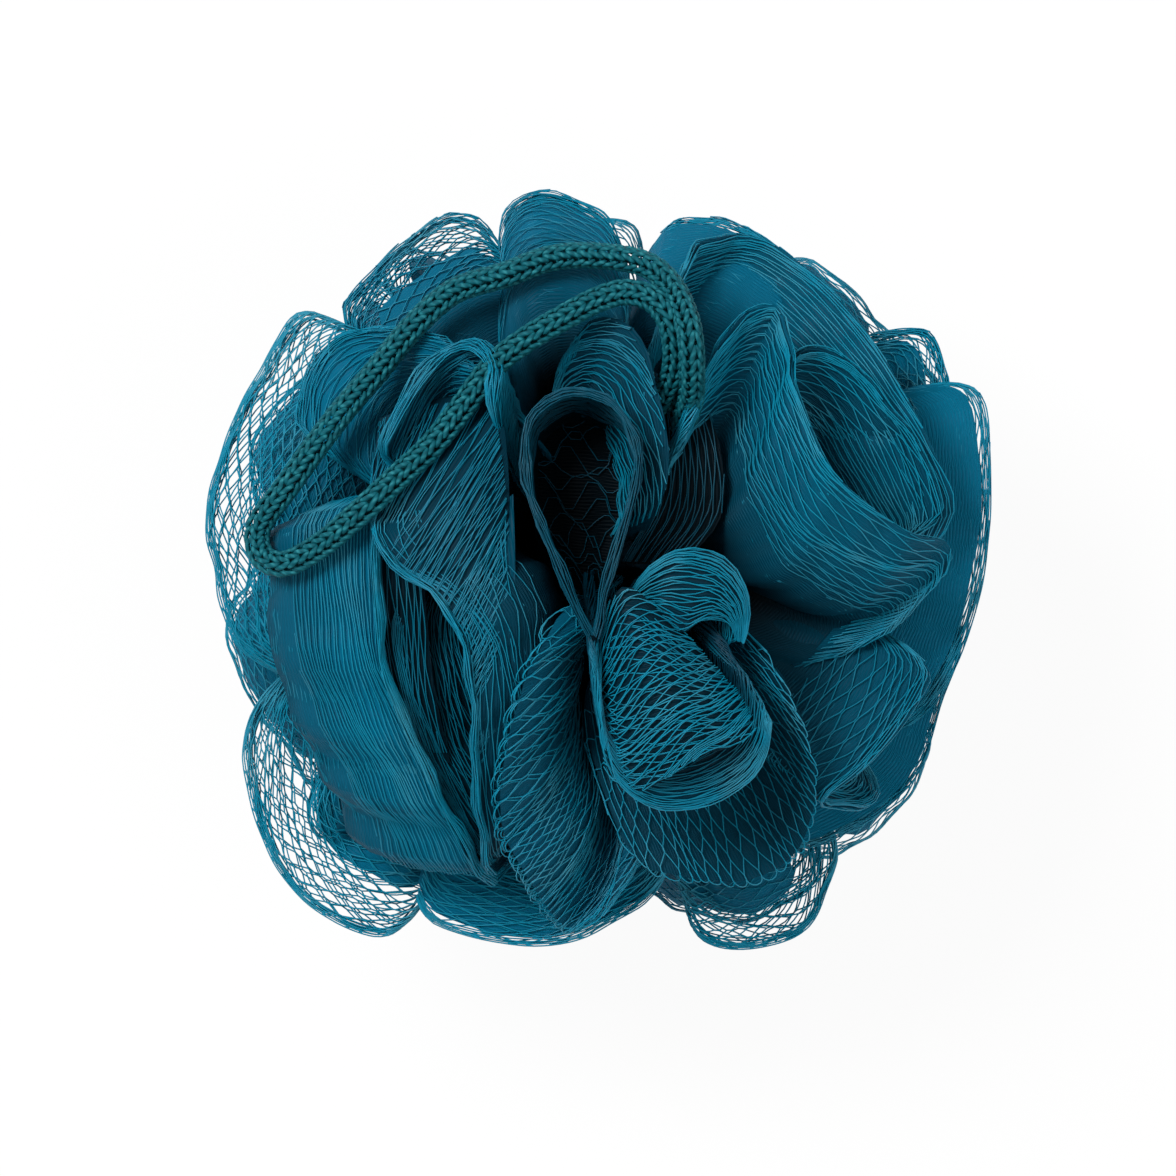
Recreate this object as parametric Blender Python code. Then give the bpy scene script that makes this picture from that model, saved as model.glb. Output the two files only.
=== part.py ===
"""Mesh bath pouf: one gathered net sleeve, the tie that bunches it, and a knitted hanging loop.

The pouf lies on a table with its face up: X runs to the right of the face, Y to its top, Z out of it.
The net is a ball of folds. Each fold is a thin wall that runs from the bunched core to a free rim.
"""

import math

import bmesh
import bpy
from mathutils import Vector

# Ball
BALL_WIDTH = 0.1200
BALL_DEPTH = 0.1160
BALL_HEIGHT = 0.0940
NET_WALL = 0.0011

# Form of a wall between the core and its rim
ROOT_DEPTH = 0.6
ROOT_SPREAD = 0.18
ROOT_HOLD = 0.35
RIM_HOLD = 0.22
CELL_OPENING = 0.72

# Bunched core and its tie
CORE_RADIUS = 0.0175
WAIST_RADIUS = 0.0060
TIE_DIAMETER = 0.0024
FIT_GAP = 0.0003
ROOM_GAP = FIT_GAP * 1.25

# Hanging loop and its knot
CORD_DIAMETER = 0.0041
KNOT_CORD_DIAMETER = 0.0030
KNOT_RING_RADIUS = 0.00415
KNOT_WIND_RADIUS = 0.00193

# Fineness of the folds
RIM_STEP = 0.0126
BACK_RIM_STEP = 0.0150
FACE_ROWS = 4
BACK_ROWS = 3
PRESSED_ROWS = 5
ROUND_STEPS = 16
KNOT_STEPS = 22

HALF = Vector((BALL_WIDTH, BALL_DEPTH, BALL_HEIGHT)) / 2
CENTRE = Vector((0.0, 0.0, BALL_HEIGHT / 2))

# Folds of the face. A rim point is a plan place in shares of the half width and half depth.
# sink: how far the rim lies under the ball's outer form. level: a fixed height share instead.
# belly: the way in which the wall bulges next to the rim. All are shares of the half sizes.
FACE_FOLDS = {
    "teardrop": dict(
        rim=[(-0.02, -0.18), (-0.12, 0.03), (-0.19, 0.22), (-0.19, 0.38), (-0.13, 0.45), (-0.04, 0.47),
             (0.05, 0.42), (0.10, 0.29), (0.07, 0.14), (0.02, -0.02)],
        sink=-0.03, belly=(0.0, 0.0, -0.5), closed=True),
    "fan": dict(
        rim=[(-0.08, -0.07), (-0.18, -0.26), (-0.24, -0.47), (-0.25, -0.65), (-0.18, -0.81),
             (-0.08, -0.94), (0.02, -0.88), (0.10, -0.82)],
        sink=0.02, belly=(0.24, 0.10, 0.06)),
    "pleat": dict(
        rim=[(-0.27, -0.86), (-0.30, -0.63), (-0.31, -0.39), (-0.32, -0.21), (-0.39, -0.07),
             (-0.49, 0.01), (-0.56, 0.11), (-0.59, 0.24)],
        sink=0.04, belly=(0.30, 0.16, 0.22)),
    "left_roll": dict(
        rim=[(-0.54, 0.31), (-0.57, 0.14), (-0.57, -0.07), (-0.54, -0.29), (-0.45, -0.50),
             (-0.36, -0.69), (-0.25, -0.89)],
        sink=0.12, belly=(-0.86, -0.08, -0.10)),
    "dark_fold": dict(
        rim=[(-0.54, -0.05), (-0.51, -0.29), (-0.44, -0.50), (-0.34, -0.69), (-0.26, -0.83)],
        sink=0.18, belly=(0.16, 0.0, -0.06)),
    "leaf": dict(
        rim=[(-0.59, 0.25), (-0.50, 0.44), (-0.40, 0.57), (-0.30, 0.59), (-0.25, 0.51), (-0.30, 0.38)],
        sink=0.04, belly=(0.02, -0.12, -0.16)),
    "edge_left": dict(
        rim=[(-0.62, 0.63), (-0.77, 0.68), (-0.87, 0.52), (-0.95, 0.36), (-1.00, 0.16), (-0.97, -0.07),
             (-0.90, -0.29)],
        level=0.26, belly=(0.20, 0.0, 0.36), netted=True),
    "puff_lower_left": dict(
        rim=[(-0.90, -0.31), (-0.92, -0.50), (-0.87, -0.71), (-0.77, -0.87), (-0.59, -0.97),
             (-0.50, -0.93), (-0.47, -0.85)],
        level=0.0, belly=(0.16, 0.16, 0.12), netted=True),
    "edge_bottom": dict(
        rim=[(-0.50, -0.89), (-0.39, -0.95), (-0.21, -0.99), (-0.08, -0.98), (0.05, -0.92), (0.17, -0.84)],
        level=0.10, belly=(0.0, 0.20, 0.10)),
    "puff_lower_right": dict(
        rim=[(0.22, -0.85), (0.25, -0.96), (0.31, -1.00), (0.42, -1.00), (0.53, -0.95), (0.59, -0.83),
             (0.62, -0.69)],
        level=-0.05, belly=(-0.08, 0.20, 0.10), netted=True),
    "tongue": dict(
        rim=[(-0.01, -0.18), (0.00, -0.39), (0.04, -0.54), (0.14, -0.61), (0.27, -0.60), (0.38, -0.53),
             (0.42, -0.41), (0.36, -0.29)],
        sink=-0.04, belly=(0.0, 0.24, 0.08)),
    "arch": dict(
        rim=[(0.35, -0.21), (0.36, -0.07), (0.31, 0.03), (0.21, 0.06), (0.12, 0.01), (0.07, -0.10)],
        sink=0.06, belly=(0.0, -0.10, -0.04)),
    "skirt": dict(
        rim=[(-0.01, -0.73), (0.10, -0.77), (0.23, -0.80), (0.37, -0.81), (0.49, -0.74), (0.54, -0.59),
             (0.52, -0.43), (0.46, -0.29), (0.38, -0.14)],
        sink=0.04, belly=(-0.10, 0.18, 0.04)),
    "tulip": dict(
        rim=[(0.23, 0.46), (0.33, 0.64), (0.45, 0.69), (0.49, 0.48), (0.58, 0.26), (0.76, 0.11),
             (0.89, 0.06), (0.85, -0.14)],
        sink=0.0, belly=(-0.12, -0.40, 0.12)),
    "tulip_back": dict(
        rim=[(0.46, 0.53), (0.52, 0.59), (0.64, 0.54), (0.76, 0.40), (0.85, 0.24), (0.89, 0.07)],
        sink=0.06, belly=(-0.10, -0.12, -0.14)),
    "edge_right": dict(
        rim=[(0.74, 0.49), (0.96, 0.49), (1.00, 0.30), (0.99, 0.03), (0.94, -0.18), (0.87, -0.34),
             (0.83, -0.46)],
        level=0.14, belly=(-0.24, 0.0, 0.10), netted=True),
    "shoulder": dict(
        rim=[(0.18, 0.76), (0.25, 0.86), (0.38, 0.89), (0.52, 0.81), (0.67, 0.64), (0.79, 0.43),
             (0.90, 0.19), (0.94, 0.01)],
        sink=0.04, belly=(-0.10, -0.12, 0.12)),
    "edge_top_right": dict(
        rim=[(0.10, 0.90), (0.18, 0.93), (0.27, 0.95), (0.36, 0.93), (0.49, 0.84), (0.64, 0.68),
             (0.73, 0.60)],
        level=0.12, belly=(-0.04, -0.20, 0.50)),
    "corner_right": dict(
        rim=[(0.67, 0.64), (0.74, 0.64), (0.85, 0.64), (0.89, 0.53), (0.91, 0.46)],
        level=0.05, belly=(-0.16, -0.10, 0.10)),
    "puff_top": dict(
        rim=[(-0.28, 0.68), (-0.26, 0.88), (-0.22, 0.97), (-0.13, 1.00), (-0.03, 0.97), (0.04, 0.88),
             (0.07, 0.68)],
        level=0.28, belly=(0.0, -0.22, 0.80)),
    "edge_top_left": dict(
        rim=[(-0.69, 0.66), (-0.59, 0.79), (-0.44, 0.92), (-0.34, 0.94), (-0.26, 0.90)],
        level=0.22, belly=(0.12, -0.18, 0.66)),
    "mid_top": dict(
        rim=[(-0.11, 0.64), (0.03, 0.66), (0.11, 0.59), (0.14, 0.46), (0.17, 0.31), (0.15, 0.13)],
        sink=0.08, belly=(-0.16, -0.06, 0.04)),
    "lower_right": dict(
        rim=[(0.89, -0.19), (0.78, -0.38), (0.67, -0.51), (0.56, -0.60), (0.67, -0.62), (0.78, -0.53)],
        sink=0.04, belly=(-0.18, 0.12, 0.08)),
    "edge_lower_right": dict(
        rim=[(0.96, -0.13), (0.88, -0.34), (0.82, -0.53), (0.72, -0.64), (0.62, -0.70), (0.49, -0.77)],
        level=0.10, belly=(-0.16, 0.16, 0.10)),
    "upper_left": dict(
        rim=[(-0.79, 0.32), (-0.76, 0.51), (-0.67, 0.62), (-0.52, 0.64), (-0.34, 0.60)],
        sink=0.06, belly=(0.18, -0.14, 0.40)),
}

# Folds of the sides and the underside, in rings: height share, count, turn of the first in
# degrees, half length of a rim, its slant, its wave, and how far the table presses a wall up,
# in shares of the half sizes
BACK_RINGS = [
    dict(height=-0.34, count=8, turn=14.0, reach=0.46, slant=0.26, wave=0.16),
    dict(height=-0.74, count=6, turn=36.0, reach=0.42, slant=0.22, wave=0.16),
    dict(height=-0.94, count=4, turn=75.0, reach=0.36, slant=0.04, wave=0.08, press=0.62),
]
BACK_BELLY = 0.50
WAVE_LENGTH = 1.7
WAVE_SHIFT = 2.1
WAVE_OUTWARD = 0.5
# The lower folds would hang under the table, which presses them flat
UNDER_SAG = 1.10

# Route of the loop in millimetres, from the knot, round the face, and back to the knot
LOOP_ROUTE = [
    (4.6, 18.6, 70.4), (6.9, 21.8, 73.2), (9.6, 26.4, 77.2), (11.0, 30.4, 81.0), (11.0, 34.6, 83.6),
    (10.0, 38.1, 83.6), (7.6, 40.9, 82.4), (3.9, 42.0, 81.4), (-0.2, 41.0, 81.6), (-5.2, 38.4, 82.4),
    (-11.0, 35.0, 82.6), (-16.2, 30.9, 82.0), (-20.8, 24.8, 81.8), (-25.6, 18.8, 82.4), (-30.2, 14.5, 83.6),
    (-34.4, 10.5, 85.0), (-38.0, 7.3, 83.4), (-41.8, 4.2, 81.4), (-46.5, 1.5, 79.4), (-49.1, 1.2, 78.2),
    (-51.1, 2.3, 76.8), (-52.0, 4.9, 75.8), (-51.1, 8.0, 76.0), (-47.2, 13.1, 77.8), (-42.7, 19.4, 77.4),
    (-38.7, 24.7, 75.8), (-34.0, 30.2, 75.0), (-28.2, 37.2, 75.6), (-22.1, 42.4, 75.8), (-14.5, 44.8, 76.6),
    (-7.9, 47.2, 76.6), (-1.4, 47.7, 76.8), (6.2, 46.5, 78.4), (10.3, 43.2, 81.0), (12.6, 38.4, 84.6),
    (13.4, 34.3, 86.4), (13.6, 30.2, 84.8), (13.4, 25.6, 80.2), (11.4, 20.2, 74.6), (8.6, 15.2, 70.4),
]
KNOT_PLACE = Vector((0.0033, 0.0125, 0.0660))


def ball_point(x, y, z):
    """Place given in shares of the half sizes, seen from the ball's centre."""
    return CENTRE + Vector((x * HALF.x, y * HALF.y, z * HALF.z))


def smooth_line(points, step, closed=False):
    """Evenly spaced points on a Catmull-Rom curve through the given points."""
    count = len(points)
    spans = count if closed else count - 1
    fine = []
    for span in range(spans):
        if closed:
            p0, p1, p2, p3 = (points[(span + k) % count] for k in (-1, 0, 1, 2))
        else:
            p0, p1, p2, p3 = (points[min(max(span + k, 0), count - 1)] for k in (-1, 0, 1, 2))
        for k in range(12):
            t = k / 12
            fine.append(0.5 * (2 * p1 + (p2 - p0) * t + (2 * p0 - 5 * p1 + 4 * p2 - p3) * t ** 2
                               + (3 * p1 - p0 - 3 * p2 + p3) * t ** 3))
    fine.append(points[0].copy() if closed else points[-1].copy())
    reach = [0.0]
    for a, b in zip(fine, fine[1:]):
        reach.append(reach[-1] + (b - a).length)
    pieces = max(3, round(reach[-1] / step))
    line = []
    at = 0
    for k in range(pieces + 1):
        want = reach[-1] * k / pieces
        while at < len(fine) - 2 and reach[at + 1] < want:
            at += 1
        span = max(reach[at + 1] - reach[at], 1e-9)
        line.append(fine[at].lerp(fine[at + 1], (want - reach[at]) / span))
    return line[:-1] if closed else line


def face_rim(fold):
    """Rim of a fold of the face, laid on the ball's outer form or at a fixed height."""
    points = []
    for x, y in fold["rim"]:
        dome = math.sqrt(max(0.0, 1.0 - x * x - y * y))
        z = fold["level"] if "level" in fold else dome - fold["sink"]
        points.append(ball_point(x, y, z))
    return smooth_line(points, RIM_STEP, fold.get("closed", False))


def back_folds():
    """Folds of the sides and the underside: rims that wave round the ball in rings."""
    folds = []
    for ring, place in enumerate(BACK_RINGS):
        for k in range(place["count"]):
            around = math.radians(place["turn"]) + math.tau * k / place["count"]
            out = Vector((math.cos(around), math.sin(around), 0.0))
            side = Vector((-math.sin(around), math.cos(around), 0.0))
            flat = math.sqrt(max(0.0, 1.0 - place["height"] ** 2))
            lean = -1.0 if (k + ring) % 2 else 1.0
            points = []
            for share in (-1.0, -0.6, -0.2, 0.2, 0.6, 1.0):
                swing = place["wave"] * math.sin(math.tau * share / WAVE_LENGTH + WAVE_SHIFT * k)
                spot = out * (flat + swing * WAVE_OUTWARD) + side * place["reach"] * share
                spot.z = place["height"] + lean * share * place["slant"] + swing
                spot.normalize()
                points.append(ball_point(spot.x, spot.y, spot.z * UNDER_SAG))
            away = (out * -place["height"] + Vector((0.0, 0.0, flat))) * BACK_BELLY
            press = place.get("press", 0.0) * HALF.z
            folds.append((f"back_{ring}_{k}", dict(points=points, belly=tuple(away), press=press)))
    return folds


def wall_point(root, rim, belly, share):
    """Point on the wall between its root on the core and its rim: a Bezier with a full belly."""
    inward = root - rim
    near_root = root - inward * ROOT_HOLD
    near_rim = rim + belly + inward * RIM_HOLD
    rest = 1.0 - share
    return (root * rest ** 3 + near_root * (3 * rest ** 2 * share) + near_rim * (3 * rest * share ** 2)
            + rim * share ** 3)


def fold_mesh(name, rim, belly, closed=False, netted=False, rows=FACE_ROWS, press=0.0):
    """Middle surface of one fold, from the core out to its rim."""
    middle = sum(rim, Vector()) / len(rim)
    heading = (middle - CENTRE).normalized()
    root_centre = CENTRE + heading * CORE_RADIUS * ROOT_DEPTH
    bulge = Vector((belly[0] * HALF.x, belly[1] * HALF.y, belly[2] * HALF.z))
    bm = bmesh.new()
    grid = []
    for row in range(rows + 1):
        share = row / rows
        line = []
        for spot in rim:
            root = root_centre + (spot - middle) * ROOT_SPREAD
            point = wall_point(root, spot, bulge, share)
            point.z = max(point.z - press * share, NET_WALL / 2)
            line.append(bm.verts.new(point))
        grid.append(line)
    columns = len(rim) if closed else len(rim) - 1
    for row in range(rows):
        for column in range(columns):
            after = (column + 1) % len(rim)
            corners = [grid[row][column], grid[row][after], grid[row + 1][after], grid[row + 1][column]]
            if netted and row > 0:
                open_cell(bm, corners)
            else:
                bm.faces.new(corners)
    mesh = bpy.data.meshes.new(name)
    bm.to_mesh(mesh)
    bm.free()
    return mesh


def open_cell(bm, corners):
    """One cell of a wall with a diamond gap in it."""
    middle = sum((corner.co for corner in corners), Vector()) / 4
    tips = []
    for k in range(4):
        edge = (corners[k].co + corners[(k + 1) % 4].co) / 2
        tips.append(bm.verts.new(middle.lerp(edge, CELL_OPENING)))
    for k in range(4):
        bm.faces.new((corners[k], corners[(k + 1) % 4], tips[k]))
        bm.faces.new((tips[k], corners[(k + 1) % 4], tips[(k + 1) % 4]))


def material(name, colour, roughness):
    """Matt plastic finish."""
    finish = bpy.data.materials.new(name)
    finish.use_nodes = True
    shader = finish.node_tree.nodes["Principled BSDF"]
    shader.inputs["Base Color"].default_value = (*colour, 1.0)
    shader.inputs["Roughness"].default_value = roughness
    shader.inputs["Metallic"].default_value = 0.0
    return finish


def place_object(name, data, finish=None):
    """Object with this mesh or curve, linked to the scene."""
    thing = bpy.data.objects.new(name, data)
    bpy.context.scene.collection.objects.link(thing)
    if finish:
        thing.data.materials.append(finish)
    return thing


def as_cutter(thing):
    """A guide that only shapes other objects."""
    thing.hide_render = True
    thing.display_type = "WIRE"
    return thing


def settled_mesh(thing, name):
    """Plain mesh of an object as its modifiers leave it."""
    view = bpy.context.evaluated_depsgraph_get()
    mesh = bpy.data.meshes.new_from_object(thing.evaluated_get(view), depsgraph=view)
    mesh.name = name
    return mesh


def weld(mesh):
    """Join the doubled corners round a tube's caps and make every facet flat."""
    bm = bmesh.new()
    bm.from_mesh(mesh)
    bmesh.ops.remove_doubles(bm, verts=bm.verts, dist=1e-6)
    bmesh.ops.recalc_face_normals(bm, faces=bm.faces)
    bmesh.ops.triangulate(bm, faces=bm.faces)
    bm.to_mesh(mesh)
    bm.free()


def turned_mesh(name, profile, steps):
    """Closed solid turned round Z through the ball's centre from (radius, height) points."""
    bm = bmesh.new()
    rings = []
    for step in range(steps):
        angle = math.tau * step / steps
        ring = []
        for radius, height in profile:
            spot = CENTRE + Vector((radius * math.cos(angle), radius * math.sin(angle), height))
            ring.append(bm.verts.new(spot))
        rings.append(ring)
    for step in range(steps):
        here = rings[step]
        there = rings[(step + 1) % steps]
        for k in range(len(profile)):
            after = (k + 1) % len(profile)
            bm.faces.new((here[k], there[k], there[after], here[after]))
    bmesh.ops.remove_doubles(bm, verts=bm.verts, dist=1e-6)
    bmesh.ops.recalc_face_normals(bm, faces=bm.faces)
    mesh = bpy.data.meshes.new(name)
    bm.to_mesh(mesh)
    bm.free()
    return mesh


def core_mesh():
    """Bunched middle of the sleeve."""
    profile = []
    for k in range(7):
        angle = math.pi * k / 6
        profile.append((CORE_RADIUS * math.sin(angle), CORE_RADIUS * math.cos(angle)))
    return turned_mesh("core", profile, ROUND_STEPS)


def tie_slot_mesh():
    """Slot round the waist in which the tie sits, open to the space between the folds."""
    inner = WAIST_RADIUS
    outer = CORE_RADIUS * 1.08
    half = TIE_DIAMETER / 2 + FIT_GAP
    profile = [(inner, half), (outer, half), (outer, -half), (inner, -half)]
    return turned_mesh("tie_slot", profile, ROUND_STEPS)


def tie_mesh():
    """String ring drawn tight round the waist."""
    radius = TIE_DIAMETER / 2
    middle = WAIST_RADIUS + FIT_GAP + radius
    profile = []
    for k in range(6):
        angle = math.tau * k / 6
        profile.append((middle + radius * math.cos(angle), radius * math.sin(angle)))
    return turned_mesh("centre_tie", profile, ROUND_STEPS)


def tube_curve(name, points, diameter, closed=False):
    """Round cord through the points."""
    curve = bpy.data.curves.new(name, "CURVE")
    curve.dimensions = "3D"
    curve.bevel_depth = diameter / 2
    curve.bevel_resolution = 2
    curve.use_fill_caps = not closed
    spline = curve.splines.new("POLY")
    spline.points.add(len(points) - 1)
    for spot, point in zip(spline.points, points):
        spot.co = (*point, 1.0)
    spline.use_cyclic_u = closed
    return curve


def loop_points():
    """Centre line of the hanging loop."""
    route = [Vector(spot) / 1000 for spot in LOOP_ROUTE]
    return smooth_line(route, CORD_DIAMETER * 2)


def run_on(end, before):
    """Point a little past the end of a line, so that its cap has room too."""
    return end + (end - before).normalized() * ROOM_GAP


def knot_points():
    """Centre line of the knot that joins the ends of the loop, wound twice through its ring."""
    spots = []
    for k in range(KNOT_STEPS):
        angle = math.tau * k / KNOT_STEPS
        reach = KNOT_RING_RADIUS + KNOT_WIND_RADIUS * math.cos(3 * angle)
        flat = Vector((reach * math.cos(2 * angle), reach * math.sin(2 * angle), 0.0))
        spots.append(KNOT_PLACE + flat + Vector((0.0, 0.0, KNOT_WIND_RADIUS * math.sin(3 * angle))))
    return spots


def main_shell(mesh):
    """Keep the netting's one connected body and drop chips and closed-in bubbles."""
    bm = bmesh.new()
    bm.from_mesh(mesh)
    todo = set(bm.faces)
    islands = []
    while todo:
        seed = todo.pop()
        island = {seed}
        edge_of = [seed]
        while edge_of:
            face = edge_of.pop()
            for edge in face.edges:
                for other in edge.link_faces:
                    if other in todo:
                        todo.discard(other)
                        island.add(other)
                        edge_of.append(other)
        islands.append(island)
    islands.sort(key=len, reverse=True)
    for island in islands[1:]:
        bmesh.ops.delete(bm, geom=list(island), context="FACES")
    bmesh.ops.triangulate(bm, faces=bm.faces)
    bm.to_mesh(mesh)
    bm.free()


def build_netting(loop_line, knot_line):
    """The gathered sleeve: all folds joined to the core, clear of the tie, the loop and the knot.

    The folds are thin walls that cross one another at low angles, where the exact solver leaves
    open edges, so the joins and cuts use the manifold solver.
    """
    folds = bpy.data.collections.new("folds")
    bpy.context.scene.collection.children.link(folds)
    sheets = []
    for name, fold in FACE_FOLDS.items():
        closed = fold.get("closed", False)
        sheets.append(fold_mesh(name, face_rim(fold), fold["belly"], closed, fold.get("netted", False)))
    for name, fold in back_folds():
        rim = smooth_line(fold["points"], BACK_RIM_STEP)
        rows = PRESSED_ROWS if fold["press"] else BACK_ROWS
        sheets.append(fold_mesh(name, rim, fold["belly"], rows=rows, press=fold["press"]))
    for sheet in sheets:
        fold = as_cutter(bpy.data.objects.new(sheet.name, sheet))
        folds.objects.link(fold)
        wall = fold.modifiers.new("wall", "SOLIDIFY")
        wall.thickness = NET_WALL
        wall.offset = 0.0
        fold.modifiers.new("facets", "TRIANGULATE")

    netting = place_object("netting", core_mesh())
    join = netting.modifiers.new("join", "BOOLEAN")
    join.operation = "UNION"
    join.solver = "MANIFOLD"
    join.operand_type = "COLLECTION"
    join.collection = folds

    half = len(loop_line) // 2
    first_leg = [run_on(loop_line[0], loop_line[1])] + loop_line[:half + 2]
    second_leg = loop_line[half:] + [run_on(loop_line[-1], loop_line[-2])]
    rooms = (("first_leg_room", first_leg, CORD_DIAMETER, False),
             ("second_leg_room", second_leg, CORD_DIAMETER, False),
             ("knot_room", knot_line, KNOT_CORD_DIAMETER, True))
    cutters = [place_object("tie_slot", tie_slot_mesh())]
    for name, line, diameter, closed in rooms:
        guide = place_object(name + "_guide", tube_curve(name, line, diameter + 2 * ROOM_GAP, closed))
        cutters.append(place_object(name, settled_mesh(guide, name)))
        bpy.data.objects.remove(guide)
        weld(cutters[-1].data)
    for cutter in cutters:
        cut = netting.modifiers.new(cutter.name, "BOOLEAN")
        cut.operation = "DIFFERENCE"
        cut.solver = "MANIFOLD"
        cut.object = as_cutter(cutter)
    mesh = settled_mesh(netting, "netting_solid")
    netting.modifiers.clear()
    netting.data = mesh
    main_shell(mesh)
    return netting


def build():
    """Model every piece of the pouf."""
    for thing in list(bpy.data.objects):
        bpy.data.objects.remove(thing)
    loop_line = loop_points()
    knot_line = knot_points()
    net_finish = material("polyethylene_net", (0.004, 0.165, 0.319), 0.45)
    cord_finish = material("knitted_cord", (0.012, 0.130, 0.130), 0.75)
    netting = build_netting(loop_line, knot_line)
    netting.data.materials.append(net_finish)
    place_object("centre_tie", tie_mesh(), cord_finish)
    place_object("hanging_loop", tube_curve("hanging_loop", loop_line, CORD_DIAMETER), cord_finish)
    place_object("cord_knot", tube_curve("cord_knot", knot_line, KNOT_CORD_DIAMETER, True), cord_finish)


build()
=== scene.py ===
# Mesh bath pouf: gathered netting round a tied core, with a knitted hanging loop over its face.
import math

import bpy
import numpy as np
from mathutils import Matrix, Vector


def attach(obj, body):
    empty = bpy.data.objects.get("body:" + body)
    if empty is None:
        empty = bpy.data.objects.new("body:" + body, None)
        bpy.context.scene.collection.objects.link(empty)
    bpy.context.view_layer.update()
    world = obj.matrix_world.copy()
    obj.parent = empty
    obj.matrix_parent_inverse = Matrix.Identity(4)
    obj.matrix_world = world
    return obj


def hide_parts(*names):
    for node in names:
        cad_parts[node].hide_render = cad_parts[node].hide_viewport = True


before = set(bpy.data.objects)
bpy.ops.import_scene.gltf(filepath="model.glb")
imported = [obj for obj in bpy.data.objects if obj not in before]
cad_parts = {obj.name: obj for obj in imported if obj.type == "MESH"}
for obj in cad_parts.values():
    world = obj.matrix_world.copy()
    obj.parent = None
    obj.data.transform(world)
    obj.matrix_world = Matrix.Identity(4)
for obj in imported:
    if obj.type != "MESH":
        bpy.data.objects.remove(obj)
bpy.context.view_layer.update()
mm = 0.001

# Small helpers


def hexColour(code):
    parts = [int(code[k:k + 2], 16) / 255 for k in (1, 3, 5)]
    return tuple(c / 12.92 if c <= 0.04045 else ((c + 0.055) / 1.055) ** 2.4 for c in parts) + (1.0,)


def addNode(tree, kind, inputs=None, **settings):
    # An input is a value, a socket or a node, which stands for its first output
    node = tree.nodes.new(kind)
    for name, value in settings.items():
        setattr(node, name, value)
    for key, value in (inputs or {}).items():
        if isinstance(value, bpy.types.Node):
            value = value.outputs[0]
        if isinstance(value, bpy.types.NodeSocket):
            tree.links.new(value, node.inputs[key])
        else:
            node.inputs[key].default_value = value
    return node


def newMaterial(name):
    material = bpy.data.materials.new(name)
    material.use_nodes = True
    material.node_tree.nodes.clear()
    return material, material.node_tree


def newObject(name, data):
    thing = bpy.data.objects.new(name, data)
    bpy.context.scene.collection.objects.link(thing)
    return thing


def quadMesh(name, points, quads, material, mapName, places):
    # Smooth mesh whose corners carry their place in the pattern, in metres
    mesh = bpy.data.meshes.new(name)
    mesh.from_pydata([tuple(p) for p in points], [], [tuple(int(k) for k in q) for q in quads])
    mesh.materials.append(material)
    mesh.shade_smooth()
    layer = mesh.uv_layers.new(name=mapName)
    layer.data.foreach_set("uv", np.array(places, np.float32).ravel())
    return mesh


def unit(field):
    # The same directions, each of length 1
    return field / np.maximum(np.linalg.norm(field, axis=-1), 1e-12)[..., None]


def shadeMesh(mesh, shades):
    # The attribute that the net's materials read: 0 in the light, 1 deep between the folds
    shade = mesh.attributes.new("depth", "FLOAT", "POINT")
    shade.data.foreach_set("value", shades)


# Materials

cordLook = dict(
    yarn="#055a66", yarnDark="#001a24", yarnPale="#45a6ae", darkAt=0.18, yarnAt=0.52, paleAt=0.86,
    plyTurn=0.55 * mm,  # the twist of a yarn's plies, as it shows along a stitch
    plySlant=3.0, ply=0.07, plyHeight=0.12 * mm,
    fuzzPerMetre=900.0, fuzz=0.38,  # tufts of fuzz about 1.1 mm apart
    roughness=0.62, specular=0.14, ior=1.49)

netLook = dict(
    # The deep thread colour is painted shade for thread deep between the folds, and the pale one a painted
    # highlight for thread in the light
    strand="#07819f", strandPaintedShade="#013c50", strandPaintedHighlight="#6fb0bb",
    strandRoughness=0.40, strandSpecular=0.16, highlightPatchPerMetre=90.0,  # pale patches about 11 mm across
    # The deep cloth colour is painted shade for net deep between the folds
    cloth="#005e7c", clothPaintedShade="#000c13", clothLine="#007a9c", clothRoughness=0.55, clothSpecular=0.08,
    meshLength=9.0 * mm, threadSpacing=0.52 * mm,  # the net's cell, closed up
    drift=3.0, driftPerMetre=120.0, sharpness=5.0, threadHeight=0.25 * mm, ior=1.5)


def mapPlace(tree, mapName):
    # The two measures of a piece's map, along and aside, in metres
    place = addNode(tree, "ShaderNodeUVMap", uv_map=mapName)
    split = addNode(tree, "ShaderNodeSeparateXYZ", {0: place})
    return split.outputs[0], split.outputs[1]


def objectNoise(tree, perMetre, detail):
    # Noise that keeps its place on the object
    spot = addNode(tree, "ShaderNodeTexCoord")
    return addNode(tree, "ShaderNodeTexNoise", {
        "Vector": spot.outputs["Object"], "Scale": perMetre, "Detail": detail})


def finishMaterial(tree, colour, roughness, specular, ior, bump=None):
    # The shader in which all three materials end
    given = {"Base Color": colour, "Roughness": roughness, "IOR": ior, "Specular IOR Level": specular}
    if bump is not None:
        given["Normal"] = bump
    shader = addNode(tree, "ShaderNodeBsdfPrincipled", given)
    addNode(tree, "ShaderNodeOutputMaterial", {0: shader})


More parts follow.
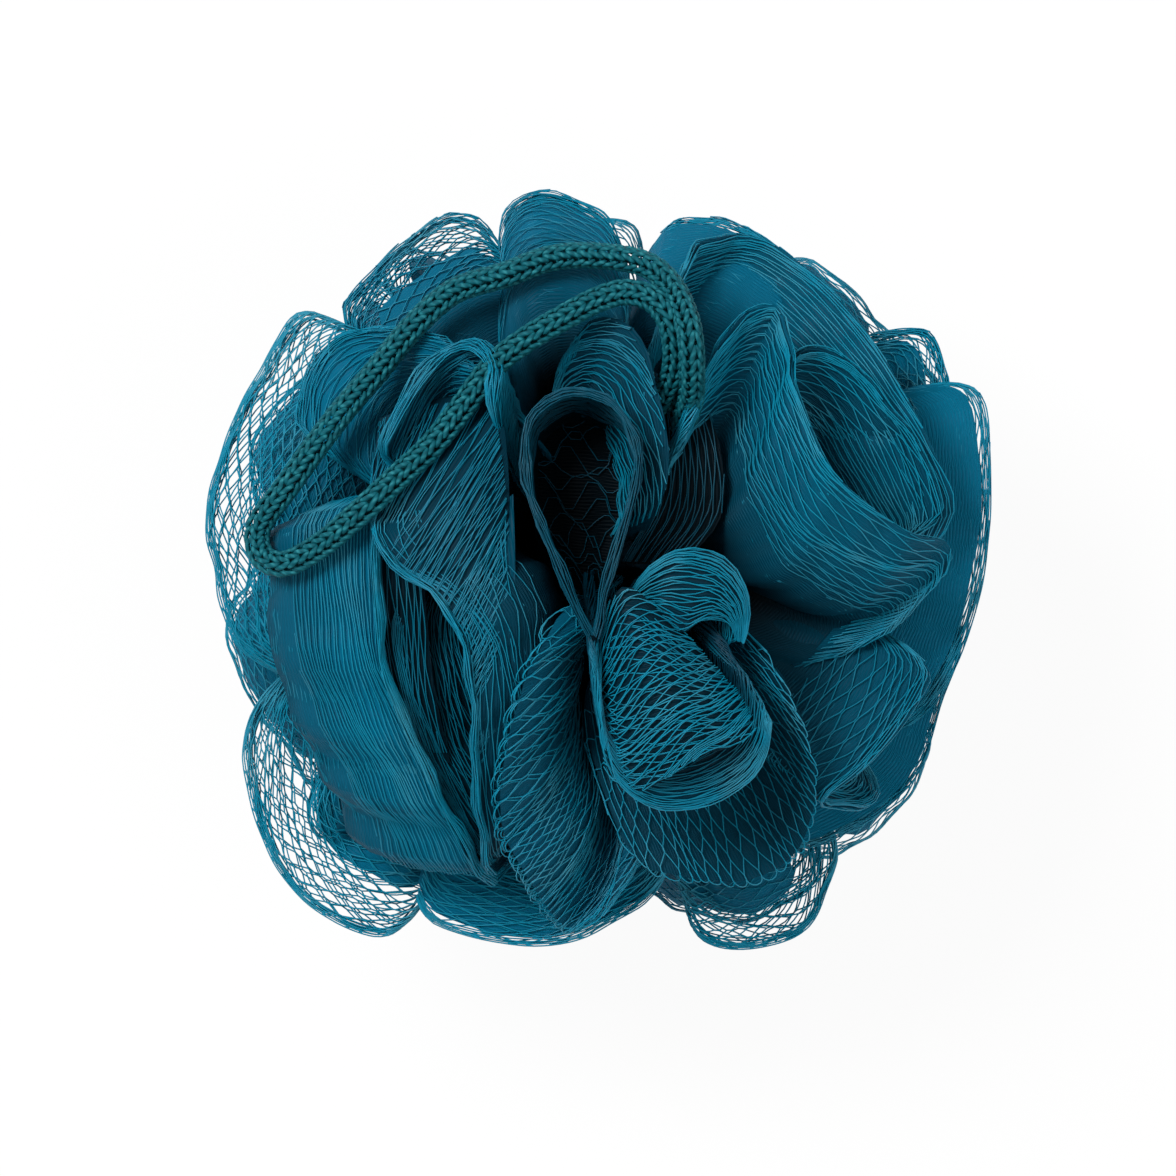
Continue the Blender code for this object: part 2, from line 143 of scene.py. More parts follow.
def knittedPolypropylene():
    # Spun polypropylene yarn: dull, with fine plies that run along each stitch
    material, tree = newMaterial("knittedPolypropylene")
    run, aside = mapPlace(tree, "yarn")
    along = addNode(tree, "ShaderNodeMath", {0: run, 1: cordLook["plyTurn"]}, operation="DIVIDE")
    slant = addNode(tree, "ShaderNodeMath", {0: aside, 1: cordLook["plySlant"]}, operation="MULTIPLY")
    turned = addNode(tree, "ShaderNodeMath", {0: along, 1: slant}, operation="ADD")
    halfTurns = addNode(tree, "ShaderNodeMath", {0: turned, 1: math.pi}, operation="MULTIPLY")
    ply = addNode(tree, "ShaderNodeMath", {0: halfTurns}, operation="SINE")
    fuzz = objectNoise(tree, cordLook["fuzzPerMetre"], 3.0)
    soft = addNode(tree, "ShaderNodeMath", {0: fuzz, 1: cordLook["fuzz"]}, operation="MULTIPLY")
    level = addNode(tree, "ShaderNodeMath", {0: soft, 1: 0.5 - cordLook["fuzz"] / 2}, operation="ADD")
    plied = addNode(tree, "ShaderNodeMath", {0: ply, 1: cordLook["ply"]}, operation="MULTIPLY")
    tone = addNode(tree, "ShaderNodeMath", {0: plied, 1: level}, operation="ADD")
    ramp = addNode(tree, "ShaderNodeValToRGB", {0: tone})
    stops = ramp.color_ramp.elements
    stops[0].position, stops[0].color = cordLook["darkAt"], hexColour(cordLook["yarnDark"])
    stops[1].position, stops[1].color = cordLook["paleAt"], hexColour(cordLook["yarnPale"])
    stops.new(cordLook["yarnAt"]).color = hexColour(cordLook["yarn"])
    bump = addNode(tree, "ShaderNodeBump", {
        "Height": tone, "Strength": 0.5, "Distance": cordLook["plyHeight"]})
    finishMaterial(tree, ramp, cordLook["roughness"], cordLook["specular"], cordLook["ior"], bump)
    return material


def knottedPolyethylene():
    # Drawn polyethylene thread: satin, with painted shade deep between the folds and paler patches of painted
    # highlight where the thread is in the light
    material, tree = newMaterial("knottedPolyethylene")
    highlightPatch = objectNoise(tree, netLook["highlightPatchPerMetre"], 2.0)
    depth = addNode(tree, "ShaderNodeAttribute", attribute_name="depth").outputs["Fac"]
    # Painted shade: the thread turns to its deep colour as the depth attribute rises, deep between the folds
    deep = addNode(tree, "ShaderNodeMix", {
        0: depth, 6: hexColour(netLook["strand"]), 7: hexColour(netLook["strandPaintedShade"])}, data_type="RGBA")
    near = addNode(tree, "ShaderNodeMath", {0: 1.0, 1: depth}, operation="SUBTRACT")
    # Painted highlight: paler patches from noise, only where the thread is in the light
    over = addNode(tree, "ShaderNodeMath", {0: highlightPatch, 1: 0.5}, operation="SUBTRACT")
    pale = addNode(tree, "ShaderNodeMath", {0: over, 1: near}, operation="MULTIPLY", use_clamp=True)
    colour = addNode(tree, "ShaderNodeMix", {
        0: pale, 6: deep.outputs[2], 7: hexColour(netLook["strandPaintedHighlight"])}, data_type="RGBA")
    finishMaterial(
        tree, colour.outputs[2], netLook["strandRoughness"], netLook["strandSpecular"], netLook["ior"])
    return material


def layeredNetting():
    # Several layers of net lying on each other: dark between the threads, with fine lines of thread that
    # close up into a satin, and painted shade deep between the folds
    material, tree = newMaterial("layeredNetting")
    along, aside = mapPlace(tree, "net")
    noise = objectNoise(tree, netLook["driftPerMetre"], 1.0)
    cells = addNode(tree, "ShaderNodeMath", {0: along, 1: netLook["meshLength"]}, operation="DIVIDE")
    zig = addNode(tree, "ShaderNodeMath", {0: cells, 1: 0.5}, operation="PINGPONG")
    rows = addNode(tree, "ShaderNodeMath", {0: aside, 1: netLook["threadSpacing"]}, operation="DIVIDE")
    drift = addNode(tree, "ShaderNodeMath", {0: noise, 1: netLook["drift"]}, operation="MULTIPLY")
    down = addNode(tree, "ShaderNodeMath", {0: rows, 1: drift}, operation="ADD")
    lines = []
    for way in ("ADD", "SUBTRACT"):
        shifted = addNode(tree, "ShaderNodeMath", {0: down, 1: zig}, operation=way)
        ripple = addNode(tree, "ShaderNodeMath", {0: shifted, 1: 0.5}, operation="PINGPONG")
        full = addNode(tree, "ShaderNodeMath", {0: ripple, 1: 2.0}, operation="MULTIPLY")
        lines.append(addNode(tree, "ShaderNodeMath", {0: full, 1: netLook["sharpness"]}, operation="POWER"))
    thread = addNode(tree, "ShaderNodeMath", {0: lines[0], 1: lines[1]}, operation="MAXIMUM")
    base = addNode(tree, "ShaderNodeMix", {
        0: thread, 6: hexColour(netLook["cloth"]), 7: hexColour(netLook["clothLine"])}, data_type="RGBA")
    # Painted shade: the cloth turns to its deep colour as the depth attribute rises, deep between the folds
    depth = addNode(tree, "ShaderNodeAttribute", attribute_name="depth").outputs["Fac"]
    colour = addNode(tree, "ShaderNodeMix", {
        0: depth, 6: base.outputs[2], 7: hexColour(netLook["clothPaintedShade"])}, data_type="RGBA")
    bump = addNode(tree, "ShaderNodeBump", {
        "Height": thread, "Strength": 0.6, "Distance": netLook["threadHeight"]})
    finishMaterial(
        tree, colour.outputs[2], netLook["clothRoughness"], netLook["clothSpecular"], netLook["ior"], bump)
    return material


cordMaterial = knittedPolypropylene()
strandMaterial = knottedPolyethylene()
clothMaterial = layeredNetting()
print("materials made")

# Camera: straight above the face, as the photograph was taken. view is the width that it sees at
# the height named focus.

cameraSet = dict(centre=(-2.0 * mm, -2.47 * mm), height=1.25, focus=50 * mm, view=181.48 * mm, sensor=36.0)
cameraData = bpy.data.cameras.new("camera")
cameraData.sensor_width = cameraSet["sensor"]
cameraData.lens = cameraSet["sensor"] * (cameraSet["height"] - cameraSet["focus"]) / cameraSet["view"]
camera = newObject("camera", cameraData)
camera.location = (*cameraSet["centre"], cameraSet["height"])
bpy.context.scene.camera = camera

# Curves

spanSteps = 12  # places read in each span of a curve


def smoothLine(points, count, closed=False):
    # Catmull-Rom through the points, read at evenly spaced places
    points = np.array(points, float)
    size = len(points)
    fine = []
    for span in range(size if closed else size - 1):
        ends = [(span + k) % size if closed else min(max(span + k, 0), size - 1) for k in (-1, 0, 1, 2)]
        a, b, c, d = points[ends]
        for k in range(spanSteps):
            t = k / spanSteps
            fine.append(0.5 * (2 * b + (c - a) * t + (2 * a - 5 * b + 4 * c - d) * t ** 2
                               + (3 * b - a - 3 * c + d) * t ** 3))
    fine.append(points[0] if closed else points[-1])
    fine = np.array(fine)
    reach = np.concatenate([[0.0], np.cumsum(np.linalg.norm(np.diff(fine, axis=0), axis=1))])
    want = np.linspace(0.0, reach[-1], count)
    return np.stack([np.interp(want, reach, fine[:, k]) for k in range(3)], axis=1), reach[-1]


def lineFrames(line, level):
    # Directions to the side of a line and over it: level keeps the side one flat, and otherwise
    # the two turn with the line as little as they can
    ahead = unit(np.gradient(line, axis=0))
    if level:
        sides = unit(np.cross(ahead, (0.0, 0.0, 1.0)))
        return sides, np.cross(ahead, sides)
    side = np.cross(ahead[0], (0.0, 0.0, 1.0))
    sides = []
    for tangent in ahead:
        side = side - tangent * np.dot(side, tangent)
        side = side / np.linalg.norm(side)
        sides.append(side)
    sides = np.array(sides)
    return sides, np.cross(ahead, sides)


# Hanging loop and its knot: a knitted cord of columns of V stitches round a dark hollow. turns says
# how far the columns are turned at a share of the length. stitch is the distance from one V to the
# next, and an arm of a V leaves its middle at the angle point and ends at the angle open. sink and
# taper shape its two ends, and lead is the place of the first V's middle, in stitches. The rungs lie
# between the columns, rungShare of a stitch further on, and rungSink is the share of the sink that
# their middle has.

loopSet = dict(
    level=True, diameter=4.1 * mm, columns=4, turns=((0.0, 0.16), (0.44, 0.16), (0.58, -0.42), (1.0, -0.42)),
    stitch=1.72 * mm, arm=2.4 * mm, yarn=0.8 * mm, flat=0.85, sink=0.27 * mm, taper=0.4,
    point=0.07, open=0.62, lead=0.6, rungYarn=0.38 * mm, rungShare=0.42, rungLean=0.1, rungInset=0.42,
    rungSink=0.75, core=0.7 * mm, rings=8, sides=6, rungRings=5, rungSides=4, coreSides=8)
knotSet = dict(
    loopSet, level=False, diameter=3.0 * mm, stitch=1.35 * mm, arm=1.8 * mm, yarn=0.66 * mm, sink=0.2 * mm,
    rungYarn=0.4 * mm, core=0.55 * mm, rings=5, sides=4)

loopRoute = [
    (4.6, 18.6, 70.4), (6.9, 21.8, 73.2), (9.6, 26.4, 77.2), (11.0, 30.4, 81.0), (11.0, 34.6, 83.6),
    (10.0, 38.1, 83.6), (7.6, 40.9, 82.4), (3.9, 42.0, 81.4), (-0.2, 41.0, 81.6), (-5.2, 38.4, 82.4),
    (-11.0, 35.0, 82.6), (-16.2, 30.9, 82.0), (-20.8, 24.8, 81.8), (-25.6, 18.8, 82.4), (-30.2, 14.5, 83.6),
    (-34.4, 10.5, 85.0), (-38.0, 7.3, 83.4), (-41.8, 4.2, 81.4), (-46.5, 1.5, 79.4), (-49.1, 1.2, 78.2),
    (-51.1, 2.3, 76.8), (-52.0, 4.9, 75.8), (-51.1, 8.0, 76.0), (-47.2, 13.1, 77.8), (-42.7, 19.4, 77.4),
    (-38.7, 24.7, 75.8), (-34.0, 30.2, 75.0), (-28.2, 37.2, 75.6), (-22.1, 42.4, 75.8), (-14.5, 44.8, 76.6),
    (-7.9, 47.2, 76.6), (-1.4, 47.7, 76.8), (6.2, 46.5, 78.4), (10.3, 43.2, 81.0), (12.6, 38.4, 84.6),
    (13.4, 34.3, 86.4), (13.6, 30.2, 84.8), (13.4, 25.6, 80.2), (11.4, 20.2, 74.6), (8.6, 15.2, 70.4),
]
knotPlace = dict(centre=(3.3, 12.5, 66.0), ring=4.15, wind=1.93)


def knittedCord(name, line, length, make):
    # Each stitch is a V: two arms start together inside the stitch before and part as they go on.
    # Rungs of yarn join the columns lower down, which leaves dark holes between them.
    sides, ups = lineFrames(line, make["level"])
    at = np.arange(len(line))
    points, quads, places = [], [], []

    def yarnRun(reach, around, radius, widths, count):
        share = np.clip(reach / length, 0.0, 1.0) * (len(line) - 1)
        centre, side, up = (np.stack([np.interp(share, at, field[:, k]) for k in range(3)], axis=1)
                            for field in (line, sides, ups))
        around = around + np.interp(reach / length, *zip(*make["turns"]))
        outward = side * np.cos(around)[:, None] + up * np.sin(around)[:, None]
        centre = centre + outward * radius[:, None]
        run = unit(np.gradient(centre, axis=0))
        across = unit(np.cross(run, outward))
        over = np.cross(across, run)
        base = len(points)
        angles = math.tau * np.arange(count) / count
        for spot, wide, high, half in zip(centre, across, over, widths / 2):
            tall = half * make["flat"]
            for angle in angles:
                points.append(spot + wide * (math.cos(angle) * half) + high * (math.sin(angle) * tall))
        for ring in range(len(reach) - 1):
            for k in range(count):
                after = (k + 1) % count
                low, high = base + ring * count, base + (ring + 1) * count
                quads.append((low + k, low + after, high + after, high + k))
                u0, u1, v0, v1 = reach[ring], reach[ring + 1], k / count, (k + 1) / count
                places.extend([(u0, v0), (u0, v1), (u1, v1), (u1, v0)])
        for ring, order in ((0, range(count - 1, -1, -1)), (len(reach) - 1, range(count))):
            quads.append(tuple(base + ring * count + k for k in order))
            places.extend([(0.0, 0.0)] * count)

    middle = make["diameter"] / 2 - make["yarn"] * make["flat"] / 2
    step = np.linspace(-1.0, 1.0, make["rings"])
    turn = math.tau / make["columns"]
    for row in range(int(length / make["stitch"]) - 1):
        for column in range(make["columns"]):
            start = (row + make["lead"] + column / make["columns"]) * make["stitch"]
            for way in (-1.0, 1.0):
                lean = make["point"] + (make["open"] - make["point"]) * (step + 1.0) / 2
                yarnRun(start + step * make["arm"] / 2, column * turn + way * lean,
                        middle - make["sink"] * step ** 4,
                        make["yarn"] * (1.0 - make["taper"] * step ** 4), make["sides"])
            rung = np.linspace(-1.0, 1.0, make["rungRings"])
            yarnRun(start + make["stitch"] * make["rungShare"] + make["rungLean"] * make["stitch"] * rung,
                    (column + 0.5) * turn + rung * (turn / 2 - make["rungInset"]),
                    middle - make["sink"] * (make["rungSink"] + (1.0 - make["rungSink"]) * rung ** 2),
                    make["rungYarn"] + 0.0 * rung, make["rungSides"])
    inner = np.linspace(0.0, length, int(length / make["stitch"]))
    yarnRun(inner, 0.0 * inner, 0.0 * inner, make["core"] * 2 + 0.0 * inner, make["coreSides"])
    mesh = quadMesh(name, points, quads, cordMaterial, "yarn", places)
    print(name, "triangles:", sum(len(f) - 2 for f in quads))
    return newObject(name, mesh)


loopLine, loopLength = smoothLine(np.array(loopRoute) * mm, 400)
knittedLoop = knittedCord("knittedLoop", loopLine, loopLength, loopSet)
turnAt = np.linspace(0.0, math.tau, 241)
knotReach = knotPlace["ring"] + knotPlace["wind"] * np.cos(3 * turnAt)
knotLine = np.array(knotPlace["centre"]) + np.stack([
    knotReach * np.cos(2 * turnAt), knotReach * np.sin(2 * turnAt),
    knotPlace["wind"] * np.sin(3 * turnAt)], axis=1)
knotLine *= mm
knotLength = np.linalg.norm(np.diff(knotLine, axis=0), axis=1).sum()
knittedKnot = knittedCord("knittedKnot", knotLine, knotLength, knotSet)
print("cord made, %.1f mm long" % (loopLength / mm))

# Folds: each is a wall from the bunched core out to a free rim

ball = dict(
    half=np.array((0.0600, 0.0580, 0.0470)), centre=np.array((0.0, 0.0, 0.0470)), coreRadius=17.5 * mm,
    rootDepth=0.6, rootSpread=0.18, rootHold=0.35, rimHold=0.22)

# Form of a fold: rim holds plan places in shares of the half width and half depth. sink is how far
# it lies under the ball's outer form, level its fixed height instead, and belly the bulge next to
# it. tuck is how far its ends curl in to the core, lip the radius of its curled edge in mm with the
# side it curls to, and ripple the height of its wrinkles in mm.
# Net of a fold: run says which way the threads run, gap is their spacing and cell the length of one
# mesh, in mm. grow widens the spacing along the fold by this share. swell is how far a thread leans
# to its neighbours, in spacings, and loose lets each do so at its own place. slant leans the threads
# over, lift raises them off the wall, and loops closes their ends at the rim. layers names the
# layers of thread. cover is the share of the wall, from its root, that has cloth behind them.
# Painted shade of a fold: tone darkens its threads, and dense is how closely its net lies, the less dense the
# darker the painted shade on its cloth. fade holds the depth in mm where the painted shade begins and the
# depth over which it fills.
faceFolds = {
    "teardrop": dict(
        rim=[(-0.02, -0.18), (-0.12, 0.03), (-0.19, 0.22), (-0.19, 0.38), (-0.13, 0.45), (-0.04, 0.47),
             (0.05, 0.42), (0.10, 0.29), (0.07, 0.14), (0.02, -0.02)],
        sink=-0.03, belly=(0.0, 0.0, -0.5), closed=True, gap=0.5, cell=14.0, lip=(0.5, 1), dense=0.4,
        tone=0.85, lift=0.4, swell=0.3, layers=("front", "behind")),
    "fan": dict(
        rim=[(-0.08, -0.07), (-0.18, -0.26), (-0.24, -0.47), (-0.25, -0.65), (-0.18, -0.81),
             (-0.08, -0.94), (0.02, -0.88), (0.10, -0.82)],
        sink=0.02, belly=(0.24, 0.10, 0.06), run="across", gap=0.9, cell=7.5, dense=0.6, grow=-0.38,
        loops=True),
    "pleat": dict(
        rim=[(-0.27, -0.86), (-0.30, -0.63), (-0.31, -0.39), (-0.32, -0.21), (-0.39, -0.07),
             (-0.49, 0.01), (-0.56, 0.11), (-0.59, 0.24)],
        sink=0.04, belly=(0.30, 0.16, 0.22), gap=0.75, cell=14.0, lip=(0.8, 1), dense=0.3, grow=1.2,
        swell=0.25),
    "leftRoll": dict(
        rim=[(-0.54, 0.31), (-0.57, 0.14), (-0.57, -0.07), (-0.54, -0.29), (-0.45, -0.50),
             (-0.36, -0.69), (-0.25, -0.89)],
        sink=0.12, belly=(-0.86, -0.08, -0.10), gap=0.42, cell=19.0, lip=(1.0, 1), ripple=0.8, swell=0.18),
    "darkFold": dict(
        rim=[(-0.54, -0.05), (-0.51, -0.29), (-0.44, -0.50), (-0.34, -0.69), (-0.26, -0.83)],
        sink=0.18, belly=(0.16, 0.0, -0.06), gap=0.75, cell=14.0, tuck=0.1, dense=0.22, tone=0.35,
        swell=0.3),
    "leaf": dict(
        rim=[(-0.59, 0.25), (-0.50, 0.44), (-0.40, 0.57), (-0.30, 0.59), (-0.25, 0.51), (-0.30, 0.38)],
        sink=0.04, belly=(0.02, -0.12, -0.16), gap=0.55, cell=12.0, lip=(0.8, 1), dense=0.55, swell=0.3),
    "edgeLeft": dict(
        rim=[(-0.62, 0.63), (-0.77, 0.68), (-0.87, 0.52), (-0.95, 0.36), (-1.00, 0.16), (-0.97, -0.07),
             (-0.90, -0.29)],
        level=0.26, belly=(0.20, 0.0, 0.36), gap=0.8, cell=6.0, cover=0.78, tuck=0.12),
    "puffLowerLeft": dict(
        rim=[(-0.90, -0.31), (-0.92, -0.50), (-0.87, -0.71), (-0.77, -0.87), (-0.59, -0.97),
             (-0.50, -0.93), (-0.47, -0.85)],
        level=0.0, belly=(0.16, 0.16, 0.12), gap=0.75, cell=6.0, cover=0.79, tuck=0.12),
    "edgeBottom": dict(
        rim=[(-0.50, -0.89), (-0.39, -0.95), (-0.21, -0.99), (-0.08, -0.98), (0.05, -0.92), (0.17, -0.84)],
        level=0.10, belly=(0.0, 0.20, 0.10), gap=0.7, cell=8.0, cover=0.97, tuck=0.06, swell=0.4,
        layers=("front", "second")),
    "puffLowerRight": dict(
        rim=[(0.22, -0.85), (0.25, -0.96), (0.31, -1.00), (0.42, -1.00), (0.53, -0.95), (0.59, -0.83),
             (0.62, -0.69)],
        level=-0.05, belly=(-0.08, 0.20, 0.10), gap=0.85, cell=5.5, cover=0.80, tuck=0.1),
    "tongue": dict(
        rim=[(-0.01, -0.18), (0.00, -0.39), (0.04, -0.54), (0.14, -0.61), (0.27, -0.60), (0.38, -0.53),
             (0.42, -0.41), (0.36, -0.29)],
        sink=-0.04, belly=(-0.06, 0.26, 0.34), gap=0.5, cell=10.0, dense=0.3, fade=(2.0, 7.0), swell=0.25),
    "arch": dict(
        rim=[(0.35, -0.21), (0.36, -0.07), (0.31, 0.03), (0.21, 0.06), (0.12, 0.01), (0.07, -0.10)],
        sink=0.06, belly=(0.0, -0.14, 0.16), gap=0.55, cell=9.0, dense=0.3, swell=0.3),
    "skirt": dict(
        rim=[(-0.01, -0.73), (0.10, -0.77), (0.23, -0.80), (0.37, -0.81), (0.49, -0.74), (0.54, -0.59),
             (0.52, -0.43), (0.46, -0.29), (0.38, -0.14)],
        sink=0.04, belly=(-0.10, 0.18, 0.04), run="across", gap=1.05, cell=6.5, dense=0.3, fade=(14.0, 22.0),
        layers=("front",), loops=True),
    "tulip": dict(
        rim=[(0.23, 0.46), (0.33, 0.64), (0.45, 0.69), (0.49, 0.48), (0.58, 0.26), (0.76, 0.11),
             (0.89, 0.06), (0.85, -0.14)],
        sink=0.0, belly=(-0.12, -0.40, 0.12), gap=0.55, cell=11.0, dense=0.62, ripple=0.6, swell=0.34),
    "tulipBack": dict(
        rim=[(0.46, 0.53), (0.52, 0.59), (0.64, 0.54), (0.76, 0.40), (0.85, 0.24), (0.89, 0.07)],
        sink=0.06, belly=(-0.10, -0.12, -0.14), gap=0.6, cell=10.0, dense=0.45, swell=0.4),
    "edgeRight": dict(
        rim=[(0.74, 0.49), (0.96, 0.49), (1.00, 0.30), (0.99, 0.03), (0.94, -0.18), (0.87, -0.34),
             (0.83, -0.46)],
        level=0.14, belly=(-0.24, 0.0, 0.10), gap=0.52, cell=8.0, cover=0.955, tuck=0.1, swell=0.36,
        layers=("front", "second")),
    "shoulder": dict(
        rim=[(0.18, 0.76), (0.25, 0.86), (0.38, 0.89), (0.52, 0.81), (0.67, 0.64), (0.79, 0.43),
             (0.90, 0.19), (0.94, 0.01)],
        sink=0.04, belly=(-0.10, -0.12, 0.12), gap=0.5, cell=14.0, dense=0.55, ripple=0.7, swell=0.25),
    "edgeTopRight": dict(
        rim=[(0.10, 0.90), (0.18, 0.93), (0.27, 0.95), (0.36, 0.93), (0.49, 0.84), (0.64, 0.68),
             (0.73, 0.60)],
        level=0.12, belly=(-0.04, -0.20, 0.50), gap=0.65, cell=8.0, cover=0.95, tuck=0.1, swell=0.4,
        layers=("front", "second")),
    "cornerRight": dict(
        rim=[(0.67, 0.64), (0.74, 0.64), (0.85, 0.64), (0.89, 0.53), (0.91, 0.46)],
        level=0.05, belly=(-0.16, -0.10, 0.10), gap=0.7, cover=0.93, tuck=0.15),
    "puffTop": dict(
        rim=[(-0.28, 0.68), (-0.26, 0.88), (-0.22, 0.97), (-0.13, 1.00), (-0.03, 0.97), (0.04, 0.88),
             (0.07, 0.68)],
        level=0.28, belly=(0.0, -0.22, 0.80), gap=0.55, cell=8.0, cover=0.95, tuck=0.12, swell=0.36),
    "edgeTopLeft": dict(
        rim=[(-0.69, 0.66), (-0.59, 0.79), (-0.44, 0.92), (-0.34, 0.94), (-0.26, 0.90)],
        level=0.22, belly=(0.12, -0.18, 0.66), gap=0.8, cell=6.0, cover=0.82, tuck=0.12),
    "midTop": dict(
        rim=[(-0.11, 0.64), (0.03, 0.66), (0.11, 0.59), (0.14, 0.46), (0.17, 0.31), (0.15, 0.13)],
        sink=0.08, belly=(-0.16, -0.06, 0.04), gap=0.62, cell=12.0, dense=0.3, swell=0.34, slant=-0.25),
    "lowerRight": dict(
        rim=[(0.89, -0.19), (0.78, -0.38), (0.67, -0.51), (0.56, -0.60), (0.67, -0.62), (0.78, -0.53)],
        sink=0.04, belly=(-0.18, 0.12, 0.08), gap=0.7, cell=8.0, dense=0.5, swell=0.4),
    "edgeLowerRight": dict(
        rim=[(0.96, -0.13), (0.88, -0.34), (0.82, -0.53), (0.72, -0.64), (0.62, -0.70), (0.49, -0.77)],
        level=0.10, belly=(-0.16, 0.16, 0.10), gap=0.65, cell=9.0, cover=0.97, tuck=0.06,
        layers=("front", "second")),
    "upperLeft": dict(
        rim=[(-0.79, 0.32), (-0.76, 0.51), (-0.67, 0.62), (-0.52, 0.64), (-0.34, 0.60)],
        sink=0.06, belly=(0.18, -0.14, 0.40), gap=0.6, cell=11.0, cover=0.97, swell=0.3),
}

# Layers of net that lie between two rims of the face, or on the floor of a pocket. near and far
# are the two borders: plan places and the depth under the ball's form, all in shares. crown raises
# the middle, in mm.
faceSheets = {
    "pleatSheet": dict(
        near=[(-0.58, 0.22, 0.12), (-0.56, 0.11, 0.08), (-0.49, 0.01, 0.05), (-0.39, -0.07, 0.04),
              (-0.33, -0.21, 0.04), (-0.31, -0.39, 0.05), (-0.30, -0.60, 0.07)],
        far=[(-0.56, 0.40, 0.20), (-0.42, 0.45, 0.19), (-0.27, 0.44, 0.18), (-0.235, 0.30, 0.13),
             (-0.23, 0.10, 0.12), (-0.235, -0.16, 0.12), (-0.26, -0.56, 0.14)],
        crown=0.6, run="across", gap=0.8, cell=9.0, dense=0.22, tone=0.15, fade=(14.0, 40.0), swell=0.34,
        layers=("front", "second"), seed=61),
    "pleatBand": dict(
        near=[(-0.315, 0.12, 0.105), (-0.315, -0.05, 0.09), (-0.31, -0.21, 0.055), (-0.305, -0.39, 0.06),
              (-0.295, -0.60, 0.08), (-0.275, -0.77, 0.115)],
        far=[(-0.22, 0.20, 0.12), (-0.215, 0.05, 0.11), (-0.215, -0.20, 0.10), (-0.22, -0.39, 0.105),
             (-0.23, -0.60, 0.12), (-0.262, -0.77, 0.125)],
        gap=0.5, cell=17.0, dense=0.5, tone=0.2, fade=(30.0, 40.0), swell=0.2, layers=("front",), seed=66),
    "leftSlit": dict(
        near=[(-0.57, 0.16, 0.16), (-0.57, -0.07, 0.18), (-0.54, -0.29, 0.20), (-0.46, -0.50, 0.22)],
        far=[(-0.45, 0.04, 0.22), (-0.44, -0.10, 0.24), (-0.42, -0.30, 0.24), (-0.38, -0.50, 0.24)],
        gap=0.6, cell=12.0, dense=0.12, tone=0.45, fade=(30.0, 40.0), swell=0.3, layers=("front",), seed=67),
    "tongueHood": dict(
        near=[(0.01, -0.50, 0.03), (0.06, -0.57, 0.00), (0.15, -0.54, -0.035), (0.24, -0.475, -0.05),
              (0.33, -0.45, -0.03), (0.42, -0.38, 0.02)],
        far=[(0.00, -0.16, 0.05), (0.02, -0.08, 0.03), (0.05, -0.04, 0.02), (0.09, -0.05, 0.02),
             (0.16, -0.12, 0.05), (0.21, -0.17, 0.07)],
        crown=2.6, gap=0.66, cell=8.0, dense=0.12, fade=(30.0, 40.0), slant=0.35, swell=0.38,
        layers=("front", "second"), seed=62),
    "archHood": dict(
        near=[(0.355, -0.20, 0.06), (0.365, -0.07, 0.04), (0.31, 0.03, 0.04), (0.21, 0.06, 0.04),
              (0.12, 0.01, 0.06), (0.06, -0.07, 0.08)],
        far=[(0.345, -0.18, 0.08), (0.31, -0.13, 0.06), (0.25, -0.125, 0.05), (0.20, -0.16, 0.06),
             (0.15, -0.12, 0.06), (0.08, -0.08, 0.10)],
        crown=1.8, gap=0.5, cell=11.0, dense=0.18, tone=0.15, fade=(30.0, 40.0), swell=0.22,
        layers=("front", "second"), seed=63),
    # The floors of the two pockets, this one and gapFloor, are made almost black by painted shade through
    # their tone and dense
    "teardropFloor": dict(
        near=[(-0.02, -0.16, 0.34), (-0.13, 0.08, 0.36), (-0.18, 0.24, 0.38), (-0.17, 0.38, 0.36),
              (-0.06, 0.46, 0.34)],
        far=[(-0.01, -0.16, 0.34), (0.04, 0.04, 0.38), (0.09, 0.18, 0.38), (0.10, 0.30, 0.36),
             (0.02, 0.45, 0.34)],
        crown=-1.0, run="across", gap=1.9, cell=5.0, dense=0.02, tone=0.84, fade=(30.0, 40.0), swell=0.8,
        loose=True, layers=("front",), seed=64),
    "gapFloor": dict(
        near=[(0.05, 0.02, 0.30), (0.12, 0.16, 0.30), (0.14, 0.34, 0.28), (0.12, 0.52, 0.26)],
        far=[(0.20, 0.02, 0.30), (0.30, 0.14, 0.30), (0.30, 0.32, 0.28), (0.24, 0.48, 0.27)],
        gap=0.6, cell=12.0, dense=0.12, tone=0.88, swell=0.3, fade=(30.0, 40.0), layers=("front",), seed=65),
}

# Rings of folds round the sides and the underside. height, reach, slant and wave are in shares.
backRings = [
    dict(height=-0.34, count=8, turn=14.0, reach=0.46, slant=0.26, wave=0.16, press=0.0),
    dict(height=-0.74, count=6, turn=36.0, reach=0.42, slant=0.22, wave=0.16, press=0.0),
    dict(height=-0.94, count=4, turn=75.0, reach=0.36, slant=0.04, wave=0.08, press=0.62),
]
backForm = dict(
    belly=0.50, waveLength=1.7, waveShift=2.1, waveOutward=0.5, sag=1.10, gap=1.05, cell=6.5, cover=0.88,
    layers=("front",))


def ballPoint(x, y, z):
    return ball["centre"] + np.array((x, y, z)) * ball["half"]


def faceRims():
    for name, fold in faceFolds.items():
        points = []
        for x, y in fold["rim"]:
            dome = math.sqrt(max(0.0, 1.0 - x * x - y * y))
            points.append(ballPoint(x, y, fold["level"] if "level" in fold else dome - fold["sink"]))
        yield name, points, np.array(fold["belly"]), 0.0, fold


